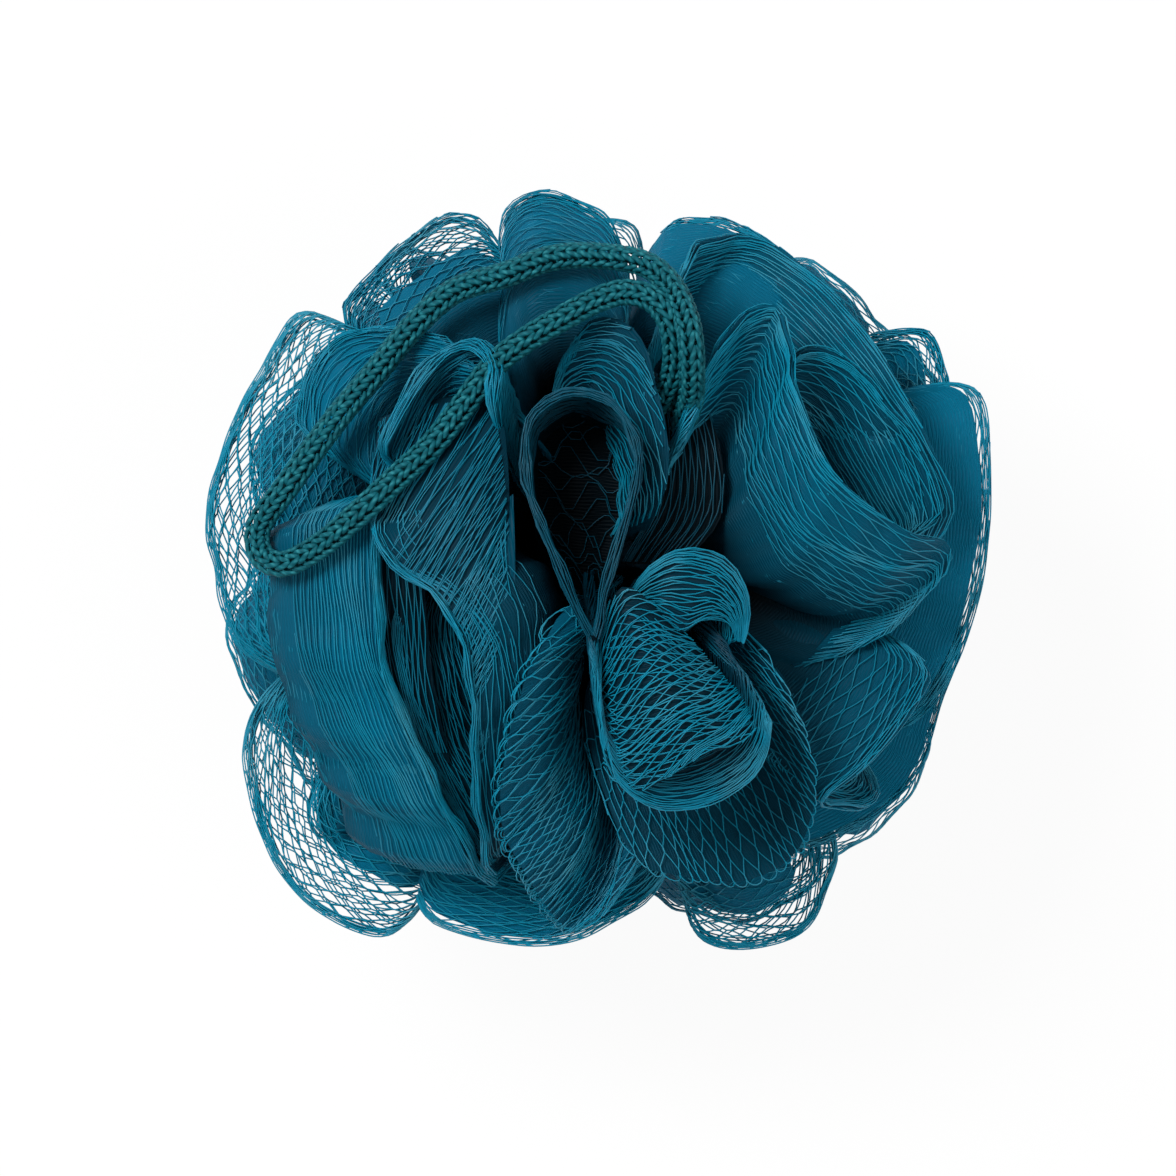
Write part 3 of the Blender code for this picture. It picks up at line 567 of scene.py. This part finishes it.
def backRims():
    for ring, place in enumerate(backRings):
        for k in range(place["count"]):
            around = math.radians(place["turn"]) + math.tau * k / place["count"]
            out = np.array((math.cos(around), math.sin(around), 0.0))
            side = np.array((-math.sin(around), math.cos(around), 0.0))
            flat = math.sqrt(max(0.0, 1.0 - place["height"] ** 2))
            lean = -1.0 if (k + ring) % 2 else 1.0
            points = []
            for share in (-1.0, -0.6, -0.2, 0.2, 0.6, 1.0):
                swing = place["wave"] * math.sin(math.tau * share / backForm["waveLength"]
                                                 + backForm["waveShift"] * k)
                spot = out * (flat + swing * backForm["waveOutward"]) + side * place["reach"] * share
                spot[2] = place["height"] + lean * share * place["slant"] + swing
                spot /= np.linalg.norm(spot)
                points.append(ballPoint(spot[0], spot[1], spot[2] * backForm["sag"]))
            away = (out * -place["height"] + np.array((0.0, 0.0, flat))) * backForm["belly"]
            yield f"back{ring}Fold{k}", points, away, place["press"] * ball["half"][2], backForm


foldFineness = dict(column=1.2 * mm, wallRows=26, lipRows=5, sheetRows=20, start=0.10)
# What every fold has; tuck, ripple and fade only where it says nothing else. A sheet's crown follows
# a half wave from crownStart on, over crownRun of it.
foldUsual = dict(
    tuck=0.34, tuckShare=0.13, ripple=0.45, fade=(8.0, 26.0), lipTurn=math.pi * 0.9, seam=8 * mm,
    lowest=0.6 * mm, lowestWrinkle=0.4 * mm, crownStart=0.25, crownRun=0.6)
# Lengths of the wrinkles' waves are in mm, and calm divides the sum of the waves
wrinkleSet = dict(waves=5, length=(7.0, 22.0), tilt=0.35, calm=3.0)


def wrinkles(chance, along, down, size):
    # Soft waves that run from the rim down the wall, as gathered net has
    wave = np.zeros(along.shape)
    for _ in range(wrinkleSet["waves"]):
        length = chance.uniform(*wrinkleSet["length"]) * mm
        tilt = chance.uniform(-wrinkleSet["tilt"], wrinkleSet["tilt"])
        wave += np.sin((along + down * tilt) * math.tau / length + chance.uniform(0.0, math.tau))
    return wave * size / wrinkleSet["calm"]


def curledLip(wall, radius, way, closed):
    # Rows that carry the rim on round a small curl
    out = unit(wall[0] - wall[1])
    ahead = np.gradient(wall[0], axis=0)
    if closed:
        ahead[0] = ahead[-1] = wall[0][1] - wall[0][-2]
    aside = np.cross(unit(ahead), out) * way
    lip = []
    for k in range(foldFineness["lipRows"], 0, -1):
        turn = foldUsual["lipTurn"] * k / foldFineness["lipRows"]
        lip.append(wall[0] + (out * math.sin(turn) + aside * (1.0 - math.cos(turn))) * radius)
    return np.array(lip)


def rowDepths(wall):
    # How far each row lies from the first one, down the wall
    steps = np.linalg.norm(np.diff(wall, axis=0), axis=2).mean(axis=1)
    return np.concatenate([[0.0], np.cumsum(steps)])


def foldGrid(name, rimPoints, belly, press, fold, seed):
    # Points of a wall in rows from the edge of its lip, down to near the core
    closed = fold.get("closed", False)
    _, length = smoothLine(rimPoints, 3, closed)
    columns = round(length / foldFineness["column"]) + 1
    rim, length = smoothLine(rimPoints, columns, closed)
    middle = rim.mean(axis=0)
    heading = middle - ball["centre"]
    heading /= np.linalg.norm(heading)
    rootMiddle = ball["centre"] + heading * ball["coreRadius"] * ball["rootDepth"]
    root = rootMiddle + (rim - middle) * ball["rootSpread"]
    if not closed:
        place = np.linspace(0, 1, columns)
        away = np.clip(np.minimum(place, place[::-1]) / foldUsual["tuckShare"], 0, 1)
        tuck = fold.get("tuck", foldUsual["tuck"]) * (1.0 - away) ** 2
        rim = rim + (root - rim) * tuck[:, None]
    inward = root - rim
    nearRoot = root - inward * ball["rootHold"]
    nearRim = rim + belly * ball["half"] + inward * ball["rimHold"]
    rows = []
    for share in np.linspace(1.0, foldFineness["start"], foldFineness["wallRows"]):
        rest = 1.0 - share
        row = (root * rest ** 3 + nearRoot * 3 * rest ** 2 * share + nearRim * 3 * rest * share ** 2
               + rim * share ** 3)
        row[:, 2] = np.maximum(row[:, 2] - press * share, foldUsual["lowest"])
        rows.append(row)
    wall = np.array(rows)
    if fold.get("lip"):
        radius, way = fold["lip"]
        wall = np.concatenate([curledLip(wall, radius * mm, way, closed), wall])
    down = rowDepths(wall)
    along = np.linspace(0.0, length, columns)
    normal = gridNormals(wall)
    a, d = np.meshgrid(along, down)
    wave = wrinkles(np.random.default_rng(seed), a, d, fold.get("ripple", foldUsual["ripple"]) * mm)
    if closed:
        seam = foldUsual["seam"]
        wave *= np.clip(along / seam, 0.0, 1.0) * np.clip((length - along) / seam, 0.0, 1.0)
    wall = wall + normal * wave[:, :, None]
    wall[:, :, 2] = np.maximum(wall[:, :, 2], foldUsual["lowestWrinkle"])
    normal = gridNormals(wall)
    return dict(name=name, wall=wall, normal=normal, down=down, length=length, fold=fold, seed=seed)


def gridNormals(wall):
    ahead = np.gradient(wall, axis=1)
    below = np.gradient(wall, axis=0)
    return unit(np.cross(ahead, below))


def sheetGrid(name, sheet):
    # Points of a sheet in rows from its near border to its far one
    near, far = np.array(sheet["near"]), np.array(sheet["far"])
    scale = ball["half"][0]
    _, reach = smoothLine(near * scale, 3)
    columns = round(reach / foldFineness["column"]) + 1
    near, _ = smoothLine(near, columns)
    far, _ = smoothLine(far, columns)
    rows = []
    for share in np.linspace(0.0, 1.0, foldFineness["sheetRows"]):
        row = near * (1.0 - share) + far * share
        dome = np.sqrt(np.maximum(0.0, 1.0 - row[:, 0] ** 2 - row[:, 1] ** 2))
        spots = np.array([ballPoint(x, y, d - sink) for (x, y, sink), d in zip(row, dome)])
        arch = np.sin(math.pi * np.linspace(0.0, 1.0, columns))
        arch *= math.sin(math.pi * (foldUsual["crownStart"] + foldUsual["crownRun"] * share))
        spots[:, 2] += sheet.get("crown", 0.0) * mm * arch
        rows.append(spots)
    wall = np.array(rows)
    down = rowDepths(wall)
    length = np.linalg.norm(np.diff(wall, axis=1), axis=2).sum(axis=1).mean()
    a, d = np.meshgrid(np.linspace(0.0, length, columns), down)
    wall[:, :, 2] += wrinkles(np.random.default_rng(sheet["seed"]), a, d, foldUsual["ripple"] * mm)
    normal = gridNormals(wall)
    if normal[:, :, 2].mean() < 0.0:
        normal = -normal
    return dict(name=name, wall=wall, normal=normal, down=down, length=length, fold=sheet, seed=sheet["seed"])


grids = [sheetGrid(name, sheet) for name, sheet in faceSheets.items()]
for number, (name, points, belly, press, fold) in enumerate(list(faceRims()) + list(backRims())):
    grids.append(foldGrid(name, points, belly, press, fold, 100 + number))
print("folds made:", len(grids))

# Threads of the net


def readGrid(field, column, row):
    # Values of a field between the points of its grid
    rows, columns = field.shape[:2]
    c0 = np.clip(np.floor(column).astype(int), 0, columns - 2)
    r0 = np.clip(np.floor(row).astype(int), 0, rows - 2)
    fc = (column - c0)[:, None]
    fr = (row - r0)[:, None]
    return (field[r0, c0] * (1 - fc) * (1 - fr) + field[r0, c0 + 1] * fc * (1 - fr)
            + field[r0 + 1, c0] * (1 - fc) * fr + field[r0 + 1, c0 + 1] * fc * fr)


def shadeOf(fold, deep, dense=1.0):
    # 0 on bright net, 1 on net in full shade
    start, span = fold.get("fade", foldUsual["fade"])
    lit = 1.0 - min(1.0, max(0.0, (deep / mm - start) / span))
    return 1.0 - lit * (1.0 - fold.get("tone", 0.0)) * dense


# One mesh of a thread: it lies beside one neighbour, crosses over and lies beside the other
meshSet = dict(phase=(0.0, 0.12, 0.31, 0.5, 0.62, 0.81), swing=(1.0, 1.0, 0.0, -1.0, -1.0, 0.0))
driftSet = dict(waves=4, run=(25, 80), stack=(5, 16), rimRoom=3 * mm)  # wave lengths in mm
liftSet = dict(wave=0.12 * mm, length=9 * mm, lowest=0.25 * mm)


def netThreads(grid, net, layer):
    # Threads that touch the next one on each side by turns, which makes the net's long cells
    chance = np.random.default_rng(grid["seed"] * 7 + layer["seed"])
    gap, cell = net["gap"] * layer["gap"] * mm, net["cell"] * mm
    down, length = grid["down"], grid["length"]
    reach = min(layer["reach"] * mm, down[-1])
    across = net["run"] == "across"
    runLength, stackLength = (reach, length) if across else (length, reach)
    count = int(stackLength / gap)
    cells = int(runLength / cell) + 2
    phases = len(meshSet["phase"])
    wave = np.tile(meshSet["swing"], cells)
    start = 0.0 if across else -chance.uniform(0.0, cell)
    t = (np.arange(cells)[:, None] + np.array(meshSet["phase"])[None, :]).ravel() * cell + start
    # slow drifts crowd the threads together in some places and spread them in others
    drifts = [(chance.uniform(*driftSet["run"]) * mm, chance.uniform(*driftSet["stack"]) * mm,
               chance.uniform(0, math.tau)) for _ in range(driftSet["waves"])]
    grow = net["grow"] / count
    slant = layer["slant"] + net["slant"] * layer["lean"]
    spare = int(abs(slant) * runLength / 2 / gap) + 1
    # base and swing of each thread, with spare ones at both ends for the slant
    plans = [] if across else [(k * layer["rimGap"] * mm, 0.0) for k in range(layer["rimLines"])]
    for i in range(-spare, count + spare):
        k = min(max(i, 0), count)
        plans.append((gap * i * (1.0 + grow * k) / (1.0 + net["grow"]),
                      net["swell"] * gap * (1.0 + 2.0 * grow * k) / (1.0 + net["grow"]) * (-1) ** i))
    lines, starts = [], []
    for i, (base, amount) in enumerate(plans):
        b = base + amount * (np.roll(wave, chance.integers(0, phases)) if net["loose"] else wave)
        drift = sum(np.sin(t * math.tau / run + b * math.tau / stack + turn) * stack * layer["drift"]
                    for run, stack, turn in drifts)
        fade = 1.0 if across else np.clip(b / driftSet["rimRoom"], 0.0, 1.0)
        b = b + drift * fade + slant * (t - runLength / 2)
        starts.append(b[0])
        inside = (t >= -1e-9) & (t <= runLength) & (b >= 0.0) & (b <= stackLength)
        along, deep = (b, t) if across else (t, b)
        column = along / length * (grid["wall"].shape[1] - 1)
        row = np.interp(deep, down, np.arange(len(down)))
        sway = liftSet["wave"] * np.sin(t * math.tau / liftSet["length"] + i)
        lift = layer["lift"] * net["lift"] * mm + sway
        spots = readGrid(grid["wall"], column, row) + readGrid(grid["normal"], column, row) * lift[:, None]
        spots[:, 2] = np.maximum(spots[:, 2], liftSet["lowest"])
        part = []
        for k in range(len(t)):
            if inside[k]:
                part.append((spots[k], shadeOf(grid["fold"], deep[k])))
            if (not inside[k] or k == len(t) - 1) and part:
                if len(part) > 1:
                    lines.append(part)
                part = []
    if across and net["loops"]:
        lines += rimLoops(grid, starts, layer["lift"] * mm)
    return lines


rimLoopSet = dict(least=0.15 * mm, between=(0.05, 0.96), height=0.9, steps=7)


def rimLoops(grid, starts, lift):
    # At a free rim the threads that stand apart close in a round loop
    wall, normal, length = grid["wall"], grid["normal"], grid["length"]
    out = unit(wall[0] - wall[1])
    first, last = rimLoopSet["between"]
    turn = np.linspace(0.0, math.pi, rimLoopSet["steps"])
    row = np.zeros(len(turn))
    arcs = []
    for low, high in zip(starts, starts[1:]):
        middle, half = (low + high) / 2, (high - low) / 2
        if half < rimLoopSet["least"] or low < 0.0 or high > length or not first < middle / length < last:
            continue
        column = (middle - half * np.cos(turn)) / length * (wall.shape[1] - 1)
        height = half * rimLoopSet["height"] * np.sin(turn)
        beyond = readGrid(np.stack([out, out]), column, row) * height[:, None]
        spots = readGrid(wall, column, row) + readGrid(normal, column, row) * lift + beyond
        arcs.append([(spot, shadeOf(grid["fold"], 0.0)) for spot in spots])
    return arcs


def threadTree():
    tree = bpy.data.node_groups.new("netThreads", "GeometryNodeTree")
    face = tree.interface
    face.new_socket("Thread lines", in_out="INPUT", socket_type="NodeSocketGeometry")
    face.new_socket("Thread width", in_out="INPUT", socket_type="NodeSocketFloat")
    face.new_socket("Thread sides", in_out="INPUT", socket_type="NodeSocketInt")
    face.new_socket("Thread material", in_out="INPUT", socket_type="NodeSocketMaterial")
    face.new_socket("Threads", in_out="OUTPUT", socket_type="NodeSocketGeometry")
    given = addNode(tree, "NodeGroupInput")
    lines = addNode(tree, "GeometryNodeMeshToCurve", {0: given.outputs["Thread lines"]})
    half = addNode(tree, "ShaderNodeMath", {0: given.outputs["Thread width"], 1: 0.5}, operation="MULTIPLY")
    ring = addNode(tree, "GeometryNodeCurvePrimitiveCircle", {
        "Resolution": given.outputs["Thread sides"], "Radius": half})
    tubes = addNode(tree, "GeometryNodeCurveToMesh", {"Curve": lines, "Profile Curve": ring})
    real = addNode(tree, "GeometryNodeRealizeInstances", {0: tubes})
    soft = addNode(tree, "GeometryNodeSetShadeSmooth", {0: real})
    dressed = addNode(tree, "GeometryNodeSetMaterial", {
        "Geometry": soft, "Material": given.outputs["Thread material"]})
    addNode(tree, "NodeGroupOutput", {0: dressed})
    return tree


threadGroup = threadTree()
threadSides = 3  # enough for a thread of two pixels


def threadPiece(name, lines, width):
    points, edges, depths = [], [], []
    for line in lines:
        base = len(points)
        points.extend(tuple(p) for p, _ in line)
        depths.extend(d for _, d in line)
        edges.extend((base + k, base + k + 1) for k in range(len(line) - 1))
    mesh = bpy.data.meshes.new(name)
    mesh.from_pydata(points, edges, [])
    shadeMesh(mesh, depths)
    wire = newObject(name + "Wire", mesh)
    maker = wire.modifiers.new("netThreads", "NODES")
    maker.node_group = threadGroup
    values = {"Thread width": width, "Thread sides": threadSides, "Thread material": strandMaterial}
    for item in threadGroup.interface.items_tree:
        if item.name in values:
            maker[item.identifier] = values[item.name]
    view = bpy.context.evaluated_depsgraph_get()
    solid = bpy.data.meshes.new_from_object(wire.evaluated_get(view), depsgraph=view)
    solid.name = name
    wire.modifiers.clear()
    bpy.data.objects.remove(wire)
    print(name, "threads:", len(lines), "triangles:", sum(len(p.vertices) - 2 for p in solid.polygons))
    return newObject(name, solid)


# What the net of a fold has where the fold says nothing else
netUsual = dict(
    gap=1.0, cell=6.0, run="along", grow=0.0, lift=1.0, swell=0.5, slant=0.0, loops=False, loose=False)

# Layers of thread, in mm: front lies on the wall and second under it, and behind is the wall's back.
# rimLines threads lie close together along the rim.
threadLayers = dict(
    front=dict(
        seed=1, gap=1.0, reach=28.0, lift=0.50, lean=1.0, drift=0.030, slant=0.0, rimLines=5, rimGap=0.32),
    second=dict(
        seed=2, gap=1.25, reach=22.0, lift=0.22, lean=-1.0, drift=0.036, slant=0.05, rimLines=2, rimGap=0.5),
    behind=dict(
        seed=3, gap=1.2, reach=16.0, lift=-0.45, lean=1.0, drift=0.036, slant=-0.04, rimLines=4, rimGap=0.36))
threadWidth = dict(
    leftFoldThreads=0.21 * mm, rightFoldThreads=0.21 * mm, topFoldThreads=0.21 * mm,
    edgeFoldThreads=0.28 * mm, underFoldThreads=0.26 * mm)

groups = dict(
    leftFoldThreads=(
        "pleatSheet", "pleatBand", "leftSlit", "pleat", "leftRoll", "darkFold", "leaf", "fan"),
    rightFoldThreads=(
        "tongueHood", "archHood", "tongue", "arch", "skirt", "tulip", "tulipBack", "lowerRight"),
    topFoldThreads=(
        "teardropFloor", "gapFloor", "teardrop", "midTop", "shoulder", "upperLeft", "puffTop"),
    edgeFoldThreads=(
        "edgeLeft", "puffLowerLeft", "edgeBottom", "puffLowerRight", "edgeRight", "edgeTopRight",
        "cornerRight", "edgeTopLeft", "edgeLowerRight"),
    underFoldThreads=tuple(g["name"] for g in grids if g["name"].startswith("back")))
byName = {g["name"]: g for g in grids}
threadPieces = []
for pieceName, members in groups.items():
    lines = []
    for member in members:
        grid = byName[member]
        net = {key: grid["fold"].get(key, usual) for key, usual in netUsual.items()}
        for layerName in grid["fold"].get("layers", threadLayers):
            lines += netThreads(grid, net, threadLayers[layerName])
    threadPieces.append(threadPiece(pieceName, lines, threadWidth[pieceName]))

# Layers of net behind the threads

# The cloth ends in a wandering edge, and where a fold is open net it draws back at the fold's ends
clothSet = dict(
    rows=22, skip=2, wander=0.18, wanderWaves=((0.15, 1.7, 1.0), (0.34, 3.9, 0.5)), openBelow=0.95,
    ends=0.22, drawBack=0.85, flatWidth=0.30)


def clothPiece(name, members):
    points, quads, places, shades = [], [], [], []
    rows = clothSet["rows"]
    for member in members:
        grid = byName[member]
        fold, down, seed = grid["fold"], grid["down"], grid["seed"]
        cover, dense, total = fold.get("cover", 1.0), fold.get("dense", 1.0), down[-1]
        last = grid["wall"].shape[1] - 1
        columns = sorted({*range(0, last, clothSet["skip"]), last})
        base = len(points)
        depths = []
        for column in columns:
            wander = sum(size * math.sin(column * pace + seed * turn)
                         for pace, turn, size in clothSet["wanderWaves"])
            start = total * (1.0 - cover) * (1.0 + clothSet["wander"] * wander)
            if cover < clothSet["openBelow"]:
                ease = min(1.0, min(column / last, 1.0 - column / last) / clothSet["ends"])
                start += (total - start) * clothSet["drawBack"] * (1.0 - ease) ** 2
            depth = start + (total - start) * np.linspace(0.0, 1.0, rows)
            row = np.interp(depth, down, np.arange(len(down)))
            points.extend(readGrid(grid["wall"], np.full(rows, float(column)), row))
            shades.extend(shadeOf(fold, d, dense) for d in depth)
            depths.append(depth)
        for c in range(len(columns) - 1):
            for r in range(rows - 1):
                low = base + c * rows + r
                quads.append((low, low + rows, low + rows + 1, low + 1))
                for cc, rr in ((c, r), (c + 1, r), (c + 1, r + 1), (c, r + 1)):
                    u, v = columns[cc] * grid["length"] / last, depths[cc][rr]
                    places.append((v, u) if fold.get("run") == "across" else (u, v))
    mesh = quadMesh(name, points, quads, clothMaterial, "net", places)
    shadeMesh(mesh, shades)
    area = sum(p.area for p in mesh.polygons)
    print(name, "quads:", len(quads), "area: %.4f m2" % area)
    return newObject(name, mesh), area


clothPieces = [clothPiece(name.replace("Threads", "Cloth"), members) for name, members in groups.items()]

# Bunched core and its tie

coreSet = dict(
    radius=16.6 * mm, waist=6.2 * mm, slot=1.7 * mm, waistRise=0.8, pleats=26, pleatDepth=0.9 * mm,
    steps=156, rings=12, swirl=0.5, shade=0.9, place=(2.0 * mm, 0.7 * mm))


def bunchedCore():
    # Ball of pleated net with a waist, where the tie holds it
    profile = []
    for k in range(coreSet["rings"] + 1):
        angle = math.pi / 2 * k / coreSet["rings"]
        reach = coreSet["radius"] * math.sin(angle)
        height = coreSet["radius"] * math.cos(angle)
        if height > coreSet["slot"]:
            profile.append((reach, height))
    profile.append((coreSet["radius"], coreSet["slot"]))
    profile.append((coreSet["waist"], coreSet["slot"] * coreSet["waistRise"]))
    profile += [(r, -h) for r, h in reversed(profile)]
    points, quads, places = [], [], []
    for step in range(coreSet["steps"]):
        angle = math.tau * step / coreSet["steps"]
        for reach, height in profile:
            ridge = coreSet["pleatDepth"] * math.cos(angle * coreSet["pleats"]) * reach / coreSet["radius"]
            swirl = angle + height / coreSet["radius"] * coreSet["swirl"]
            points.append(ball["centre"] + np.array((
                (reach + ridge) * math.cos(swirl), (reach + ridge) * math.sin(swirl), height)))
    wide = len(profile)
    for step in range(coreSet["steps"]):
        after = (step + 1) % coreSet["steps"]
        for k in range(wide - 1):
            quads.append((step * wide + k, step * wide + k + 1, after * wide + k + 1, after * wide + k))
            for s, j in ((step, k), (step, k + 1), (step + 1, k + 1), (step + 1, k)):
                places.append((j * coreSet["place"][0], s * coreSet["place"][1]))
    mesh = quadMesh("bunchedCore", points, quads, clothMaterial, "net", places)
    # Painted shade: the whole core takes nearly the deep colour of net in full shade
    shadeMesh(mesh, [coreSet["shade"]] * len(points))
    return newObject("bunchedCore", mesh)


core = bunchedCore()
tieSet = dict(knotSet, ringRadius=7.5 * mm, diameter=2.4 * mm, stitch=1.3 * mm, arm=1.7 * mm, yarn=0.6 * mm,
              sink=0.26 * mm, rungYarn=0.4 * mm, core=0.45 * mm)
ringTurn = np.linspace(0.0, math.tau, 121)
tieLine = ball["centre"] + tieSet["ringRadius"] * np.stack(
    [np.cos(ringTurn), np.sin(ringTurn), 0.0 * ringTurn], axis=1)
knittedTie = knittedCord("knittedTie", tieLine, math.tau * tieSet["ringRadius"], tieSet)
print("core and tie made")

# Floor and light

floorSet = dict(half=3.0, paper="#f4f4f4", shownWhite=0.93)


def whitePaper():
    # Matt white paper: the camera sees it almost pure white, with what is left of the soft shadow
    material, tree = newMaterial("whitePaper")
    light = addNode(tree, "ShaderNodeLightPath")
    paper = addNode(tree, "ShaderNodeBsdfDiffuse", {0: hexColour(floorSet["paper"])})
    glow = addNode(tree, "ShaderNodeEmission", {0: hexColour("#ffffff"), 1: 1.0})
    shown = addNode(tree, "ShaderNodeMixShader", {0: floorSet["shownWhite"], 1: paper, 2: glow})
    seen = addNode(tree, "ShaderNodeMixShader", {0: light.outputs["Is Camera Ray"], 1: paper, 2: shown})
    addNode(tree, "ShaderNodeOutputMaterial", {0: seen})
    return material


floorMesh = bpy.data.meshes.new("floor")
corners = [(x * floorSet["half"], y * floorSet["half"], 0) for x, y in ((-1, -1), (1, -1), (1, 1), (-1, 1))]
floorMesh.from_pydata(corners, [], [(0, 1, 2, 3)])
floorMesh.materials.append(whitePaper())
floor = newObject("floor", floorMesh)

world = bpy.data.worlds.new("studio")
bpy.context.scene.world = world
world.use_nodes = True
skySet = dict(colour="#ffffff", strength=0.42)  # plain light from all round
sky = world.node_tree.nodes["Background"]
sky.inputs[0].default_value = hexColour(skySet["colour"])
sky.inputs[1].default_value = skySet["strength"]

lampAim = Vector((0, 0, 0.05))
lamps = dict(
    key=dict(place=(-0.55, 0.45, 1.05), size=0.45, power=13.0),
    fill=dict(place=(0.8, -0.3, 0.9), size=0.9, power=4.0))
for name, lamp in lamps.items():
    data = bpy.data.lights.new(name, "AREA")
    data.size = lamp["size"]
    data.energy = lamp["power"]
    light = newObject(name, data)
    light.location = lamp["place"]
    light.rotation_euler = (lampAim - light.location).to_track_quat("-Z", "Y").to_euler()
bpy.context.scene.view_settings.view_transform = "Standard"
print("floor and lamps placed")

# What each piece belongs to

for piece in [p for p, _ in clothPieces] + threadPieces + [core]:
    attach(piece, "root")
    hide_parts("netting")
for piece, node in ((knittedLoop, "hanging_loop"), (knittedKnot, "cord_knot"), (knittedTie, "centre_tie")):
    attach(piece, "root")
    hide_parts(node)
